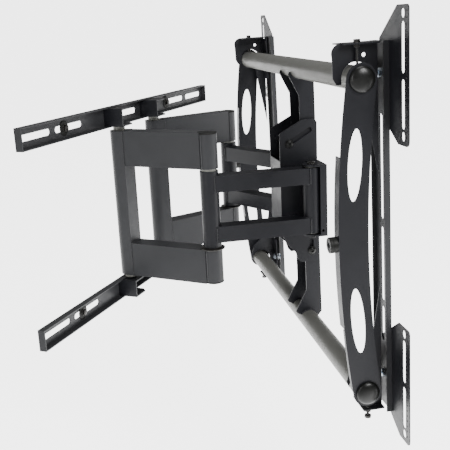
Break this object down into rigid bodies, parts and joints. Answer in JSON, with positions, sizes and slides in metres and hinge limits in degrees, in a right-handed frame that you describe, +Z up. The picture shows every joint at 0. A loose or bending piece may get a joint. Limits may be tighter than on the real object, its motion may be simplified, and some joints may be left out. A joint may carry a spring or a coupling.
{
  "type": "full motion television wall mount",
  "caption": "Heavy full motion wall mount: wall rails, folding arms on both sides, a swivelling head, a tilting mast and rails that hang on cross tubes to carry a large flat television.",
  "frame": {"origin": "on the wall face, midway between the two wall rails and at the middle of their length", "axes": "+X along the rails to the right as seen from the room, +Y into the wall, +Z up"},
  "size_m": [1.3185, 0.907, 1.0288],
  "materials": {
    "charcoal_coat": "fine-textured satin powder coat",
    "dark_coat": "satin powder coat",
    "grey_coat": "satin powder coat",
    "black_gloss": "gloss moulded plastic",
    "black_hardware": "black oxide fasteners",
    "zinc": "bright zinc plate",
    "nylon": "natural nylon"
  },
  "bodies": {
    "wall_plate": {"upper_wall_rail": "charcoal_coat", "lower_wall_rail": "charcoal_coat", "lag_screws": "black_hardware", "lag_washers": "black_hardware", "upper_pivot_brackets": "dark_coat", "lower_pivot_brackets": "dark_coat", "shoulder_bolts": "black_hardware"},
    "left_inner_arm": {"left_inner_post": "charcoal_coat", "left_inner_upper_bar": "charcoal_coat", "left_inner_lower_bar": "charcoal_coat", "left_elbow_knuckles": "charcoal_coat", "left_elbow_caps": "black_gloss", "left_elbow_studs": "zinc", "left_shoulder_bushes": "nylon"},
    "right_inner_arm": {"right_inner_post": "charcoal_coat", "right_inner_upper_bar": "charcoal_coat", "right_inner_lower_bar": "charcoal_coat", "right_elbow_knuckles": "charcoal_coat", "right_elbow_caps": "black_gloss", "right_elbow_studs": "zinc", "right_shoulder_bushes": "nylon"},
    "left_outer_arm": {"left_outer_post": "dark_coat", "left_outer_upper_bar": "dark_coat", "left_outer_lower_bar": "dark_coat", "left_head_post": "dark_coat", "left_elbow_collar": "black_hardware", "left_outer_bushes": "nylon"},
    "right_outer_arm": {"right_outer_post": "dark_coat", "right_outer_upper_bar": "dark_coat", "right_outer_lower_bar": "dark_coat", "right_head_post": "dark_coat", "right_elbow_collar": "black_hardware", "right_outer_bushes": "nylon"},
    "swivel_head": {"left_head_bracket": "dark_coat", "right_head_bracket": "dark_coat", "left_tilt_plate": "dark_coat", "right_tilt_plate": "dark_coat", "tilt_back_plate": "dark_coat", "head_bolts": "black_hardware", "head_washers": "nylon"},
    "tilt_pivot": {"tilt_pivot_bolts": "black_hardware"},
    "screen_frame": {"mast": "dark_coat", "upper_cross_tube": "grey_coat", "lower_cross_tube": "grey_coat", "left_frame_plate": "dark_coat", "right_frame_plate": "dark_coat", "tube_end_caps": "black_gloss", "tilt_lock_bolts": "black_hardware"},
    "left_rail": {"left_screen_rail": "charcoal_coat", "left_rail_hooks": "dark_coat", "left_extension_plates": "dark_coat", "left_rail_bolts": "zinc", "left_lock_screw": "black_hardware"},
    "right_rail": {"right_screen_rail": "charcoal_coat", "right_rail_hooks": "dark_coat", "right_extension_plates": "dark_coat", "right_rail_bolts": "zinc", "right_lock_screw": "black_hardware"},
    "left_levelling_screw": {"left_levelling_screw": "black_hardware"},
    "right_levelling_screw": {"right_levelling_screw": "black_hardware"}
  },
  "joints": [
    {"name": "left_shoulder", "type": "hinge", "parent": "wall_plate", "child": "left_inner_arm", "pos_m": [-0.11, -0.028, 0], "axis": [0, 0, 1], "range_deg": [-20, 8]},
    {"name": "left_elbow", "type": "hinge", "parent": "left_inner_arm", "child": "left_outer_arm", "pos_m": [-0.13194, -0.31316, 0], "axis": [0, 0, 1], "range_deg": [-12.07, 30.09]},
    {"name": "head_swivel", "type": "hinge", "parent": "left_outer_arm", "child": "swivel_head", "pos_m": [0.02797, -0.56224, 0], "axis": [0, 0, 1], "range_deg": [-7.85, 3.17]},
    {"name": "right_shoulder", "type": "hinge", "parent": "wall_plate", "child": "right_inner_arm", "pos_m": [0.11, -0.028, 0], "axis": [0, 0, 1], "range_deg": [-1.2, 2.93]},
    {"name": "right_elbow", "type": "hinge", "parent": "right_inner_arm", "child": "right_outer_arm", "pos_m": [0.35052, -0.18274, 0], "axis": [0, 0, 1], "range_deg": [-18.61, 7.48]},
    {"name": "tilt_lift", "type": "slide", "parent": "swivel_head", "child": "tilt_pivot", "axis": [0, 0, 1], "range_m": [0, 0.031]},
    {"name": "tilt", "type": "hinge", "parent": "tilt_pivot", "child": "screen_frame", "pos_m": [0.12761, -0.51413, -0.169], "axis": [0.848, 0.5299, 0], "range_deg": [0, 10.5]},
    {"name": "left_rail_slide", "type": "slide", "parent": "screen_frame", "child": "left_rail", "axis": [0.848, 0.5299, 0], "range_m": [0, 0.25]},
    {"name": "right_rail_slide", "type": "slide", "parent": "screen_frame", "child": "right_rail", "axis": [0.848, 0.5299, 0], "range_m": [-0.25, 0]},
    {"name": "left_levelling", "type": "hinge", "parent": "left_rail", "child": "left_levelling_screw", "pos_m": [-0.33398, -0.76992, 0.43958], "axis": [-0.0102, 0.0163, 0.9998], "continuous": true},
    {"name": "right_levelling", "type": "hinge", "parent": "right_rail", "child": "right_levelling_screw", "pos_m": [0.61923, -0.17429, 0.43958], "axis": [-0.0102, 0.0163, 0.9998], "continuous": true}
  ],
  "couplings": [
    {"joint": "left_elbow", "follows": "left_shoulder", "ratio": -1.502},
    {"joint": "head_swivel", "follows": "left_shoulder", "ratio": 0.3899},
    {"joint": "right_shoulder", "follows": "left_shoulder", "ratio": -0.1438},
    {"joint": "right_elbow", "follows": "left_shoulder", "ratio": 0.9282},
    {"joint": "tilt_lift", "follows": "tilt", "m_per_rad": 0.16752}
  ]
}
